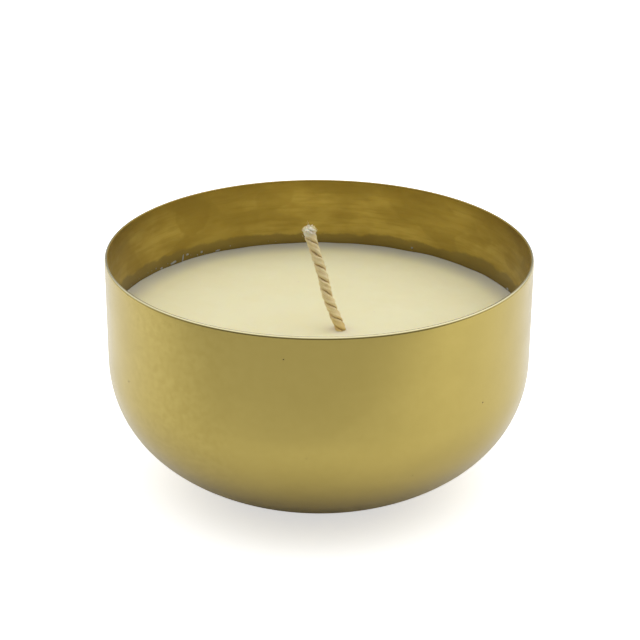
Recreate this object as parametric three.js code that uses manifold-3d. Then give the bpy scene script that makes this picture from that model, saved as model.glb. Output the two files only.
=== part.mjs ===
// A container candle: wax cast in a shallow round metal bowl, with a twisted two-ply wick.
//
// The bowl is one piece of thin sheet, drawn and spun. Its wall is almost upright, then turns
// under in one long curve to a small flat foot, and the middle of the base is set up a little so
// that it stands on a ring. Inside, an adhesive pad holds a stamped wick sustainer on the middle of
// the base. The wick runs up from the sustainer's neck, drifts off centre in the wax, and leans
// back over the middle where it stands free. A blank paper label is stuck in the recess underneath.
//
// Units are millimetres, +Z is up, and the origin is the centre of the base, on the table.

import * as THREE from "three";
import { mergeVertices } from "three/addons/utils/BufferGeometryUtils.js";
import Module from "manifold-3d";

// ---- Driving dimensions ----

const RIM_RADIUS = 50;
const BOWL_HEIGHT = 56.5;
const SHEET = 0.8; // thickness of the metal
const WALL_DRAFT = THREE.MathUtils.degToRad(1); // the wall closes in this much on its way down
const SHOULDER_HEIGHT = 31.6; // where the straight wall ends and the curve begins
const FOOT_RADIUS = 20;
const FOOT_SLOPE = THREE.MathUtils.degToRad(18); // how steeply the curve leaves the table
const SHOULDER_PULL = 21.2; // length of the curve's upper handle, down the wall
const FOOT_PULL = 10.5; // length of the curve's lower handle, along the foot's slope
const RECESS_RADIUS = 16;
const RECESS_DEPTH = 0.6;
const RECESS_BEVEL = 0.6;

const WAX_LEVEL = 40;
const WAX_GAP = 0.1; // between the wax and the bowl, so that the two solids don't share faces
const CAST_GAP = 0.3; // between the wax and what is cast into it

const PLY_RADIUS = 0.54;
const PLY_OFFSET = 0.66; // from the wick's own line to the middle of a ply
const TWIST_PITCH = 6.2;
const WICK_RADIUS = PLY_OFFSET + PLY_RADIUS;
const WICK_LIFT = 0.4; // the plies are cut square to their own slant, so their ends need this much room

const PAD_RADIUS = 8;
const PAD_THICKNESS = 1;
const TAB_RADIUS = 10;
const TAB_THICKNESS = 0.3;
const NECK_HEIGHT = 5;
const NECK_BORE_RADIUS = 1.5;
const NECK_WALL = 0.4;
const NECK_FLARE = 0.8;

const LABEL_RADIUS = 15;
const LABEL_THICKNESS = 0.15;
const GLUE_GAP = 0.02; // between pieces that are stuck flat together

// Facets round a full turn, and steps along a curve.
const BOWL_SEGMENTS = 64;
const SMALL_SEGMENTS = 32;
const CURVE_STEPS = 10;
const PLY_SIDES = 6;
const STEPS_PER_TURN = 10;

// ---- Heights that follow from them ----

const FLOOR_TOP = RECESS_DEPTH + SHEET; // the inside of the raised middle of the base
const PAD_BASE = FLOOR_TOP + GLUE_GAP;
const TAB_BASE = PAD_BASE + PAD_THICKNESS + GLUE_GAP;
const WICK_BASE = TAB_BASE + WICK_LIFT;

// The line that the wick follows: up the neck, off to one side in the wax, out of the surface
// with a bend, and back over the middle to the cut end.
const WICK_ROUTE = [
  [0, 0, WICK_BASE],
  [0, 0, 8.5],
  [1.9, -2.2, 20],
  [4.4, -5.3, 32],
  [5.3, -6.8, 38],
  [4.9, -6.5, 40.5],
  [3.9, -5.6, 42.8],
  [2.1, -4.2, 47.1],
  [0.8, -2.6, 51.9],
  [-0.6, -1.1, 56.2],
  [-2.1, 0.5, 60.7],
  [-2.6, 1.2, 63],
];

// ---- Materials ----

const finish = (color, roughness, metalness) =>
  new THREE.MeshStandardMaterial({ color, roughness, metalness });

const BRASS = finish("#b59a52", 0.3, 1);
const WAX = finish("#e6dfb6", 0.55, 0);
const COTTON = finish("#d8c59a", 0.9, 0);
const TINPLATE = finish("#b9bcc0", 0.35, 1);
const FOAM = finish("#f0eee6", 0.95, 0);
const PAPER = finish("#f4f3ee", 0.8, 0);

// ---- Helpers ----

const wasm = await Module();
wasm.setup();

// A closed geometry as a manifold-3d solid.
function solidFrom(geometry) {
  const bare = geometry.clone().deleteAttribute("normal").deleteAttribute("uv");
  const merged = mergeVertices(bare, 1e-3);
  return new wasm.Manifold(
    new wasm.Mesh({
      numProp: 3,
      vertProperties: merged.attributes.position.array,
      triVerts: new Uint32Array(merged.index.array),
    }),
  );
}

// A manifold-3d solid as a three.js geometry.
function geometryFrom(solid) {
  const { vertProperties, triVerts } = solid.getMesh();
  const geometry = new THREE.BufferGeometry();
  geometry.setAttribute("position", new THREE.BufferAttribute(vertProperties, 3));
  geometry.setIndex(new THREE.BufferAttribute(triVerts, 1));
  geometry.computeVertexNormals();
  return geometry;
}

// A profile of [radius, height] points, turned about the vertical axis.
function turned(profile, segments) {
  const points = profile.map(([radius, height]) => new THREE.Vector2(radius, height));
  return new THREE.LatheGeometry(points, segments).rotateX(Math.PI / 2);
}

// A plain round disc standing on a height.
function disc(radius, base, thickness, segments) {
  const profile = [
    [0, base],
    [radius, base],
    [radius, base + thickness],
    [0, base + thickness],
  ];
  return turned(profile, segments);
}

function part(name, geometry, material) {
  const mesh = new THREE.Mesh(geometry, material);
  mesh.name = name;
  return mesh;
}

// ---- The bowl's section ----

const wallRadius = (height) => RIM_RADIUS - (BOWL_HEIGHT - height) * Math.tan(WALL_DRAFT);

// The curve from the end of the straight wall to the edge of the foot.
function shoulderCurve() {
  const top = new THREE.Vector2(wallRadius(SHOULDER_HEIGHT), SHOULDER_HEIGHT);
  const foot = new THREE.Vector2(FOOT_RADIUS, 0);
  const downWall = new THREE.Vector2(-Math.sin(WALL_DRAFT), -Math.cos(WALL_DRAFT));
  const upSlope = new THREE.Vector2(Math.cos(FOOT_SLOPE), Math.sin(FOOT_SLOPE));
  return new THREE.CubicBezierCurve(
    top,
    top.clone().addScaledVector(downWall, SHOULDER_PULL),
    foot.clone().addScaledVector(upSlope, FOOT_PULL),
    foot,
  );
}

// Points down the side of the bowl from a height on the straight wall to the foot, set in from
// the outside by a distance measured square to the surface.
function sidePoints(fromHeight, inset) {
  const curve = shoulderCurve();
  const points = [[wallRadius(fromHeight) - inset, fromHeight]];
  for (let step = 0; step <= CURVE_STEPS; step += 1) {
    const at = curve.getPoint(step / CURVE_STEPS);
    const along = curve.getTangent(step / CURVE_STEPS);
    points.push([at.x + along.y * inset, at.y - along.x * inset]);
  }
  return points;
}

// Points across the base from the foot to the axis, at a height above the underside.
function basePoints(lift) {
  return [
    [RECESS_RADIUS + RECESS_BEVEL, lift],
    [RECESS_RADIUS, lift + RECESS_DEPTH],
    [0, lift + RECESS_DEPTH],
  ];
}

// The side's last inset point sits above the flat of the base, so the flat starts below it.
function liningPoints(fromHeight, inset) {
  const side = sidePoints(fromHeight, inset).filter(([, height]) => height > inset);
  return [...side, [FOOT_RADIUS - inset, inset], ...basePoints(inset)];
}

// ---- Pieces ----

function bowl() {
  const outside = [...sidePoints(BOWL_HEIGHT, 0), ...basePoints(0)].reverse();
  return turned([...outside, ...liningPoints(BOWL_HEIGHT, SHEET)], BOWL_SEGMENTS);
}

// The wick's line, and one ply's line as it winds round it.
class PlyCurve extends THREE.Curve {
  constructor(line, phase) {
    super();
    this.line = line;
    this.phase = phase;
    this.turns = line.getLength() / TWIST_PITCH;
  }

  getPoint(t, target = new THREE.Vector3()) {
    const angle = this.phase - 2 * Math.PI * this.turns * t;
    const offset = new THREE.Vector3(Math.cos(angle), Math.sin(angle), 0);
    return target.copy(this.line.getPointAt(t)).addScaledVector(offset, PLY_OFFSET);
  }
}

function wickLine() {
  return new THREE.CatmullRomCurve3(WICK_ROUTE.map((point) => new THREE.Vector3(...point)));
}

// A round rod of a number of sides along a curve.
function rod(curve, radius, sides, steps) {
  const section = new THREE.Shape();
  for (let side = 0; side < sides; side += 1) {
    const angle = (2 * Math.PI * side) / sides;
    const [x, y] = [radius * Math.cos(angle), radius * Math.sin(angle)];
    if (side === 0) section.moveTo(x, y);
    else section.lineTo(x, y);
  }
  return new THREE.ExtrudeGeometry(section, { steps, extrudePath: curve });
}

function wickPly(phase) {
  const curve = new PlyCurve(wickLine(), phase);
  return rod(curve, PLY_RADIUS, PLY_SIDES, Math.round(curve.turns * STEPS_PER_TURN));
}

function sustainer() {
  const neckRadius = NECK_BORE_RADIUS + NECK_WALL;
  const tabTop = TAB_BASE + TAB_THICKNESS;
  const neckTop = tabTop + NECK_HEIGHT;
  const profile = [
    [NECK_BORE_RADIUS, TAB_BASE],
    [TAB_RADIUS, TAB_BASE],
    [TAB_RADIUS, tabTop],
    [neckRadius + NECK_FLARE, tabTop],
    [neckRadius, tabTop + NECK_FLARE],
    [neckRadius, neckTop],
    [NECK_BORE_RADIUS, neckTop],
    [NECK_BORE_RADIUS, TAB_BASE],
  ];
  return turned(profile, SMALL_SEGMENTS);
}

// What the sustainer and its pad take out of the wax, with a gap all round.
function castRoom() {
  const neckRadius = NECK_BORE_RADIUS + NECK_WALL + CAST_GAP;
  const tabTop = TAB_BASE + TAB_THICKNESS + CAST_GAP;
  const profile = [
    [0, 0],
    [TAB_RADIUS + CAST_GAP, 0],
    [TAB_RADIUS + CAST_GAP, tabTop],
    [neckRadius + NECK_FLARE, tabTop],
    [neckRadius, tabTop + NECK_FLARE],
    [neckRadius, tabTop + NECK_HEIGHT],
    [0, tabTop + NECK_HEIGHT],
  ];
  return turned(profile, SMALL_SEGMENTS);
}

// The channel that the wick fills, run on past the surface so that it opens there.
function wickChannel() {
  const steps = 30;
  const sides = 12;
  return rod(wickLine(), WICK_RADIUS + CAST_GAP, sides, steps);
}

function wax() {
  const lining = liningPoints(WAX_LEVEL, SHEET + WAX_GAP).reverse();
  const cast = solidFrom(turned([...lining, [0, WAX_LEVEL]], BOWL_SEGMENTS));
  const room = solidFrom(castRoom());
  const channel = solidFrom(wickChannel());
  return geometryFrom(cast.subtract(room).subtract(channel));
}

const pad = () => disc(PAD_RADIUS, PAD_BASE, PAD_THICKNESS, SMALL_SEGMENTS);

function label() {
  const base = RECESS_DEPTH - GLUE_GAP - LABEL_THICKNESS;
  return disc(LABEL_RADIUS, base, LABEL_THICKNESS, SMALL_SEGMENTS);
}

// ---- The candle ----

const candle = new THREE.Group();
candle.add(
  part("bowl", bowl(), BRASS),
  part("wax_fill", wax(), WAX),
  part("wick_ply_1", wickPly(0), COTTON),
  part("wick_ply_2", wickPly(Math.PI), COTTON),
  part("wick_sustainer", sustainer(), TINPLATE),
  part("wick_pad", pad(), FOAM),
  part("base_label", label(), PAPER),
);

export default candle;
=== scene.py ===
# %% [markdown]
# # A container candle in a spun brass bowl
#
# The candle is a shallow round bowl of thin sheet metal with wax cast in it and a twisted
# cotton wick that leans over the middle. Its sizes are already settled by a CAD model, which
# is loaded first and stays as it is. Everything made here takes its place from that model:
# the same pieces are built again with smooth surfaces, fine detail and real finishes.

# %% Load the frame
import math
from functools import reduce

import bmesh
import bpy
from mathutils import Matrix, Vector, noise
from mathutils.geometry import interpolate_bezier


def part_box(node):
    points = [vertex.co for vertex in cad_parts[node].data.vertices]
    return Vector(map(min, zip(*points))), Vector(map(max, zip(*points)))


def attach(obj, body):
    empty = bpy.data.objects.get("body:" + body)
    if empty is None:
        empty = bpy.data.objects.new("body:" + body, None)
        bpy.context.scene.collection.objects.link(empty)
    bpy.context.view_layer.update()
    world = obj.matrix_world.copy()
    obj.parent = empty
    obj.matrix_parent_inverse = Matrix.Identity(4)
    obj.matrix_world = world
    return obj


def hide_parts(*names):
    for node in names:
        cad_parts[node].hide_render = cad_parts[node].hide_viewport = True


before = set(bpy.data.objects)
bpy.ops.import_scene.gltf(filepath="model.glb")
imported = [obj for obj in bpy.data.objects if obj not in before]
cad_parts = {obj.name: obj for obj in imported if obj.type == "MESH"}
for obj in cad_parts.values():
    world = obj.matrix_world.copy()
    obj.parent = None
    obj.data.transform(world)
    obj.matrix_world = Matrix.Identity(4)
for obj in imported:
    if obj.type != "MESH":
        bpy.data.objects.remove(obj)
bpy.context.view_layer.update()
MM = 0.001
TURN = 2 * math.pi
print("CAD nodes:", sorted(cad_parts))

# %% [markdown]
# ## What the frame says
#
# A turned bowl is described by half of its section. The CAD model gives the rim, the height,
# the wax level and where the hidden wick clip sits. The few numbers that shape the long curve
# under the wall are repeated here, because the CAD model only keeps its flat faces.

# %% Sizes
bowl_low, bowl_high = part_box("bowl")
_, wax_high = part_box("wax_fill")
clip_low, clip_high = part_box("wick_sustainer")
pad_low, pad_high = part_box("wick_pad")
label_low, label_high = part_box("base_label")

RIM_RADIUS = (bowl_high.x - bowl_low.x) / 2
RIM_HEIGHT = bowl_high.z
WAX_LEVEL = wax_high.z
SHEET = 0.8 * MM
WALL_DRAFT = math.radians(1)
SHOULDER_HEIGHT = 31.6 * MM
SHOULDER_PULL = 21.2 * MM
FOOT_RADIUS = 20 * MM
FOOT_SLOPE = math.radians(18)
FOOT_PULL = 10.5 * MM
RECESS_RADIUS = 16 * MM
RECESS_DEPTH = 0.6 * MM
CAST_GAP = 0.1 * MM
print(f"bowl {2 * RIM_RADIUS / MM:.1f} mm across and {RIM_HEIGHT / MM:.1f} mm high")
print(f"wax poured to {WAX_LEVEL / MM:.1f} mm")

# %% [markdown]
# ## The camera
#
# A small product is photographed from some way off with a long lens, so that its sides stay
# almost parallel. The camera stands in front and looks down into the bowl at about 22 degrees.
# It is turned about its own axis by a third of a degree, as a hand-levelled tripod is.

# %% Camera
CAMERA_DISTANCE = 0.7
CAMERA_ASIDE = 0.25 * MM
CAMERA_HEIGHT_ANGLE = math.radians(21.62)
CAMERA_PITCH = math.radians(22.89)
CAMERA_ROLL = math.radians(0.34)
SENSOR_WIDTH = 36  # in mm, as the lens is
LENS = 169
NEAREST = 0.01
FARTHEST = 20

camera_data = bpy.data.cameras.new("camera")
camera_data.sensor_width = SENSOR_WIDTH
camera_data.lens = LENS
camera_data.clip_start = NEAREST
camera_data.clip_end = FARTHEST
camera = bpy.data.objects.new("camera", camera_data)
camera.location = (
    CAMERA_ASIDE,
    -CAMERA_DISTANCE * math.cos(CAMERA_HEIGHT_ANGLE),
    RIM_HEIGHT + CAMERA_DISTANCE * math.sin(CAMERA_HEIGHT_ANGLE),
)
camera.rotation_mode = "XYZ"
camera.rotation_euler = (math.pi / 2 - CAMERA_PITCH, 0, 0)
camera.rotation_euler.rotate_axis("Z", CAMERA_ROLL)
bpy.context.scene.collection.objects.link(camera)
bpy.context.scene.camera = camera
print("camera at", [round(value, 3) for value in camera.location])

# %% [markdown]
# ## Helpers for node trees
#
# Materials, Geometry Nodes and the studio's backdrop are all node trees, and the same few
# moves build each of them: put a node down, fill its sockets, and do sums. A socket takes
# either a plain value or a link from another node, so one helper decides which. With the
# sums as functions, a rule reads like a formula and not like a drawing of wires.

# %% Node helpers
def feed(tree, socket, value):
    if isinstance(value, bpy.types.NodeSocket):
        tree.links.new(value, socket)
    else:
        socket.default_value = value


def place(tree, kind, inputs=None, **settings):
    node = tree.nodes.new(kind)
    for option, value in settings.items():
        setattr(node, option, value)
    for key, value in (inputs or {}).items():
        feed(tree, node.inputs[key], value)
    return node


def sums(tree, operation, *values):
    return place(tree, "ShaderNodeMath", dict(enumerate(values)), operation=operation).outputs[0]


def plus(tree, *values):
    return reduce(lambda a, b: sums(tree, "ADD", a, b), values)


def times(tree, *values):
    return reduce(lambda a, b: sums(tree, "MULTIPLY", a, b), values)


def minus(tree, first, second):
    return sums(tree, "SUBTRACT", first, second)


def over(tree, first, second):
    return sums(tree, "DIVIDE", first, second)


def parts(tree, vector):
    return place(tree, "ShaderNodeSeparateXYZ", {0: vector}).outputs


def join(tree, x=0.0, y=0.0, z=0.0):
    return place(tree, "ShaderNodeCombineXYZ", {0: x, 1: y, 2: z}).outputs[0]


def vectors(tree, operation, *values):
    node = place(tree, "ShaderNodeVectorMath", dict(enumerate(values)), operation=operation)
    return node.outputs["Value" if operation in ("DOT_PRODUCT", "LENGTH") else "Vector"]


def scaled(tree, vector, factor):
    inputs = {0: vector, "Scale": factor}
    return place(tree, "ShaderNodeVectorMath", inputs, operation="SCALE").outputs["Vector"]


def ramp(tree, value, start, end, low=0.0, high=1.0):
    inputs = {"Value": value, "From Min": start, "From Max": end, "To Min": low, "To Max": high}
    return place(tree, "ShaderNodeMapRange", inputs, interpolation_type="SMOOTHSTEP").outputs["Result"]


def blend(tree, mask, first, second):
    node = place(tree, "ShaderNodeMix", {"Factor": mask}, data_type="RGBA")
    for key, colour in ((6, first), (7, second)):
        feed(tree, node.inputs[key], (*colour, 1) if isinstance(colour, tuple) else colour)
    return node.outputs[2]


def between(tree, mask, first, second):
    return place(tree, "ShaderNodeMix", {"Factor": mask, 2: first, 3: second}).outputs[0]


def start_group(kind, name, output, output_kind, **inputs):
    """A node group with one output. An input is given by its plain value or, as text, its kind."""
    tree = bpy.data.node_groups.new(name, kind)
    for title, value in inputs.items():
        has_default = not isinstance(value, str)
        input_kind = type(value).__name__.capitalize() if has_default else value
        socket = tree.interface.new_socket(
            title.replace("_", " "), in_out="INPUT", socket_type="NodeSocket" + input_kind)
        if has_default:
            socket.default_value = value
    tree.interface.new_socket(output, in_out="OUTPUT", socket_type="NodeSocket" + output_kind)
    ends = tree.nodes.new("NodeGroupInput"), tree.nodes.new("NodeGroupOutput")
    return tree, ends[0].outputs, ends[1].inputs[output]


# %% [markdown]
# ## Studio light
#
# Satin metal has little colour of its own: it shows the room. A product like this stands in
# a white tent that is lit from above and behind, on a white table, with the dark room of the
# photographer in front. The wall of the bowl mirrors the table. In front, the table's colour is
# painted darker, as painted shade where the light falls off, and that gives the wall its shading
# from the middle to the sides. A black card behind the table is mirrored only by the flat of
# the rim, and draws it as a dark line.
# The tent could be many lamps, but each would show as a patch in the metal. One backdrop
# whose brightness changes smoothly with the direction has no edges to show. The table glows
# a little for the camera alone, as on a light table, so the bowl's shadow stays faint.

# %% Tent and table
FRONT_LIGHT = 0.18
BACK_LIGHT = 0.72
FRONT_TO_BACK = (-0.75, 0.55)  # in the y of the direction looked at
TOP_LIGHT = 1.07
TOP_DIRECTION = Vector((0.08, 0.20, 0.95)).normalized()
TOP_SPREAD = (0.2, 1.0)  # in the cosine of the angle to the direction, as the card's edge is
CARD_SHADE = 0.4
CARD_DIRECTION = Vector((0.0, 0.92, 0.39)).normalized()
CARD_EDGE = (0.80, 0.94)
TABLE_WHITE = (0.97, 0.97, 0.97)
TABLE_FALLOFF_SHADE = (0.575, 0.575, 0.575)
TABLE_GLOW = 0.6
TABLE_ROUGHNESS = 0.9
TABLE_SIZE = 6.0
ROOM_DIRECTION = (0.24, 1.0, 0.0)
FALLOFF_FROM_TO = (-0.025, -0.16)  # in metres along that direction


def make_tent():
    world = bpy.data.worlds.new("white_tent")
    world.use_nodes = True
    tree = world.node_tree
    direction = tree.nodes.new("ShaderNodeTexCoord").outputs["Generated"]
    backdrop = ramp(tree, parts(tree, direction)["Y"], *FRONT_TO_BACK, FRONT_LIGHT, BACK_LIGHT)
    facing = vectors(tree, "DOT_PRODUCT", direction, TOP_DIRECTION)
    overhead = ramp(tree, facing, *TOP_SPREAD, 0.0, TOP_LIGHT)
    behind = vectors(tree, "DOT_PRODUCT", direction, CARD_DIRECTION)
    card = ramp(tree, behind, *CARD_EDGE, 1.0, CARD_SHADE)
    strength = times(tree, card, plus(tree, backdrop, overhead))
    tent = tree.nodes["Background"].inputs
    tent["Color"].default_value = (1, 1, 1, 1)
    feed(tree, tent["Strength"], strength)
    bpy.context.scene.world = world


def make_table():
    half = TABLE_SIZE / 2
    corners = [(-half, -half, 0), (half, -half, 0), (half, half, 0), (-half, half, 0)]
    mesh = bpy.data.meshes.new("table")
    mesh.from_pydata(corners, [], [(0, 1, 2, 3)])
    material = bpy.data.materials.new("white_table")
    material.use_nodes = True
    tree = material.node_tree
    shader = tree.nodes["Principled BSDF"]
    shader.inputs["Roughness"].default_value = TABLE_ROUGHNESS
    spot = tree.nodes.new("ShaderNodeTexCoord").outputs["Object"]
    # Painted shade: the table's colour turns grey towards the front, where the light falls off.
    painted_falloff = ramp(tree, vectors(tree, "DOT_PRODUCT", spot, ROOM_DIRECTION), *FALLOFF_FROM_TO)
    feed(tree, shader.inputs["Base Color"], blend(tree, painted_falloff, TABLE_WHITE, TABLE_FALLOFF_SHADE))
    seen = tree.nodes.new("ShaderNodeLightPath").outputs["Is Camera Ray"]
    shader.inputs["Emission Color"].default_value = (1, 1, 1, 1)
    feed(tree, shader.inputs["Emission Strength"], times(tree, seen, TABLE_GLOW))
    mesh.materials.append(material)
    table = bpy.data.objects.new("table", mesh)
    bpy.context.scene.collection.objects.link(table)


make_tent()
make_table()
bpy.context.scene.view_settings.view_transform = "Standard"
print("tent and table ready")

# %% [markdown]
# ## Effects that several finishes share
#
# Real surfaces are never even. Three small effects cover this candle, and each is a shader
# node group with its own sizes, so that every material can use it at its own scale:
# cloudy patches for tarnish, smudges and soaked wax, spin lines from the lathe, and scattered
# specks. They read object coordinates, which for these pieces are plain metres, and they
# give out only masks. What a mask does to the finish is decided in the material.

# %% Shared effects
def object_place(tree):
    return tree.nodes.new("ShaderNodeTexCoord").outputs["Object"]


def patches_group():
    tree, sizes, result = start_group(
        "ShaderNodeTree", "cloudy_patches", "Mask", "Float", Size=10 * MM, Flatness=1.0,
        Detail=3.0, Low=0.4, High=0.6, Shift=0.0)
    stretch = join(tree, 1.0, 1.0, sizes["Flatness"])
    spot = vectors(tree, "MULTIPLY", object_place(tree), stretch)
    spot = scaled(tree, spot, over(tree, 1.0, sizes["Size"]))
    inputs = {"Vector": spot, "W": sizes["Shift"], "Scale": 1.0, "Detail": sizes["Detail"],
              "Roughness": 0.55}
    cloud = place(tree, "ShaderNodeTexNoise", inputs, noise_dimensions="4D").outputs[0]
    tree.links.new(ramp(tree, cloud, sizes["Low"], sizes["High"]), result)
    return tree


def spin_lines_group():
    tree, sizes, result = start_group(
        "ShaderNodeTree", "spin_lines", "Lines", "Float", Spacing=0.4 * MM, Run=30 * MM)
    across = vectors(tree, "MULTIPLY", object_place(tree), (1, 1, 0))
    climb = plus(tree, parts(tree, object_place(tree))["Z"], vectors(tree, "LENGTH", across))
    fine = over(tree, climb, sizes["Spacing"])
    around = scaled(tree, across, over(tree, 1.0, sizes["Run"]))
    spot = vectors(tree, "ADD", around, join(tree, z=fine))
    inputs = {"Vector": spot, "Scale": 1.0, "Detail": 2.0, "Roughness": 0.6}
    tree.links.new(place(tree, "ShaderNodeTexNoise", inputs).outputs[0], result)
    return tree


def specks_group():
    tree, sizes, result = start_group(
        "ShaderNodeTree", "specks", "Mask", "Float", Spacing=3 * MM, Size=0.08, Share=0.3)
    spot = scaled(tree, object_place(tree), over(tree, 1.0, sizes["Spacing"]))
    cells = place(tree, "ShaderNodeTexVoronoi", {"Vector": spot, "Scale": 1.0})
    lot = place(tree, "ShaderNodeSeparateColor", {0: cells.outputs["Color"]})
    radius = times(tree, sizes["Size"], lot.outputs["Green"])
    near = ramp(tree, over(tree, cells.outputs["Distance"], radius), 1.0, 0.6)
    chosen = sums(tree, "LESS_THAN", lot.outputs["Red"], sizes["Share"])
    tree.links.new(times(tree, near, chosen), result)
    return tree


EFFECTS = {"patches": patches_group(), "spin_lines": spin_lines_group(), "specks": specks_group()}
print("shared effects:", ", ".join(EFFECTS))


# %% Material helpers
def start_material(name, **plain):
    material = bpy.data.materials.new(name)
    material.use_nodes = True
    tree = material.node_tree
    shader = tree.nodes["Principled BSDF"]
    for title, value in plain.items():
        shader.inputs[title.replace("_", " ")].default_value = value
    return material, tree, shader


def dress(tree, shader, **values):
    for title, value in values.items():
        feed(tree, shader.inputs[title.replace("_", " ")], value)


def effect(tree, name, **sizes):
    node = tree.nodes.new("ShaderNodeGroup")
    node.node_tree = EFFECTS[name]
    for title, value in sizes.items():
        feed(tree, node.inputs[title], value)
    return node.outputs[0]


def layered(tree, colour, *layers):
    """A colour with others laid over it, each through a mask and at a share of full strength."""
    for mask, share, other in layers:
        colour = blend(tree, times(tree, mask, share), colour, other)
    return colour


def raised(tree, shader, height, depth):
    inputs = {"Height": height, "Distance": depth, "Strength": 1.0}
    tree.links.new(place(tree, "ShaderNodeBump", inputs).outputs[0], shader.inputs["Normal"])


def height_above(tree, level):
    return minus(tree, parts(tree, object_place(tree))["Z"], level)


def distance_from(tree, x, y):
    flat = vectors(tree, "MULTIPLY", object_place(tree), (1, 1, 0))
    return vectors(tree, "LENGTH", vectors(tree, "SUBTRACT", flat, (x, y, 0)))


def attribute(tree, name, output="Fac"):
    return place(tree, "ShaderNodeAttribute", attribute_name=name).outputs[output]


# %% [markdown]
# ## Brass
#
# The bowl is one sheet with two faces. The outside is a satin brass with an olive tinge, under
# a thin lacquer. It has faint spin lines, smudges and a few dark specks, and fine stains where
# a hand picks it up. The inside has been hot with wax and has no lacquer. It is duller and
# browner, in patches that run along the spin lines. A dark band with a ragged edge runs round
# it just above the wax, and one large patch is darker, near the rim at the back left. Two
# materials would do, but one material with a mask named "inside" keeps the rim without a seam
# and shares every effect.

# %% Brass material
OUTER_BRASS = (0.565, 0.440, 0.114)
OUTER_SMUDGE = (0.540, 0.420, 0.106)
OUTER_STAIN = (0.505, 0.388, 0.093)
BARE_LIP = (0.58, 0.53, 0.32)
INNER_BRASS = (0.53, 0.390, 0.100)
INNER_TARNISH = (0.42, 0.295, 0.062)
# Wiped patches and the painted shade just below the rim inside share this colour.
INNER_WIPED_AND_RIM_SHADE = (0.36, 0.250, 0.052)
BAND_TARNISH = (0.28, 0.208, 0.066)
SPECK_BROWN = (0.12, 0.085, 0.03)
BAND_HEIGHT = 2.5 * MM
BAND_RISE = 1.2 * MM
BAND_RAGGED = 1.8 * MM
PATCH_MIDDLE = (-31.2 * MM, 37.8 * MM, 51.3 * MM)
PATCH_RADIUS = 4.0 * MM
PATCH_RAGGED = 2.4 * MM
HAND_SIDE = (-0.69, -0.72, 0.0)
SATIN = (0.21, 0.26)  # roughness, from clean to smudged
DULL = (0.34, 0.46)
LIP_ROUGHNESS = 0.12
LACQUER = 0.45
LACQUER_ROUGHNESS = 0.3


def hand_stains(tree):
    """A mask for fine stains all over, strongest at the side that a hand picks the bowl up by."""
    around = vectors(tree, "NORMALIZE", vectors(tree, "MULTIPLY", object_place(tree), (1, 1, 0)))
    held = ramp(tree, vectors(tree, "DOT_PRODUCT", around, HAND_SIDE), 0.90, 0.99, 0.25, 1.0)
    fine = effect(tree, "patches", Size=1.8 * MM, Detail=5.0, Low=0.28, High=0.72, Shift=2.0)
    return times(tree, held, fine)


def brass_outside(tree, smudges, specks):
    return layered(tree, OUTER_BRASS, (smudges, 1.0, OUTER_SMUDGE),
                   (hand_stains(tree), 1.0, OUTER_STAIN), (specks, 1.0, SPECK_BROWN))


def dark_patch(tree):
    """A mask for one large patch of tarnish with a ragged edge, near the rim at the back left."""
    ragged = effect(tree, "patches", Size=4 * MM, Detail=4.0, Low=0.2, High=0.8, Shift=9.0)
    edge = plus(tree, PATCH_RADIUS, times(tree, ragged, PATCH_RAGGED))
    away = vectors(tree, "LENGTH", vectors(tree, "SUBTRACT", object_place(tree), PATCH_MIDDLE))
    return ramp(tree, over(tree, away, edge), 1.1, 0.88)


def wax_band(tree):
    """A mask for the dark band above the wax, higher at both sides, with a ragged edge."""
    ragged = effect(tree, "patches", Size=6 * MM, Detail=4.0, Low=0.2, High=0.8, Shift=5.0)
    across = scaled(tree, vectors(tree, "MULTIPLY", object_place(tree), (1, 0, 0)), 1 / RIM_RADIUS)
    rise = times(tree, vectors(tree, "DOT_PRODUCT", across, across), BAND_RISE)
    edge = plus(tree, BAND_HEIGHT, rise, times(tree, minus(tree, ragged, 0.5), BAND_RAGGED))
    return ramp(tree, over(tree, height_above(tree, WAX_LEVEL), edge), 1.15, 0.85)


def brass_inside(tree, tarnish):
    wiped = effect(tree, "patches", Size=17 * MM, Flatness=1.3, Detail=1.5, Low=0.515, High=0.545,
                   Shift=1.0)
    streaks = effect(tree, "patches", Size=9 * MM, Flatness=9.0, Low=0.45, High=0.62, Shift=7.0)
    # Painted shade: the inside turns darker over the last 4 mm below the rim.
    rim_painted_shade = ramp(tree, height_above(tree, RIM_HEIGHT), -4.4 * MM, -0.4 * MM)
    return layered(tree, INNER_BRASS, (tarnish, 0.8, INNER_TARNISH), (wiped, 0.4, INNER_WIPED_AND_RIM_SHADE),
                   (streaks, 0.35, INNER_WIPED_AND_RIM_SHADE), (dark_patch(tree), 0.6, INNER_WIPED_AND_RIM_SHADE),
                   (rim_painted_shade, 0.8, INNER_WIPED_AND_RIM_SHADE), (wax_band(tree), 0.8, BAND_TARNISH))


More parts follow.
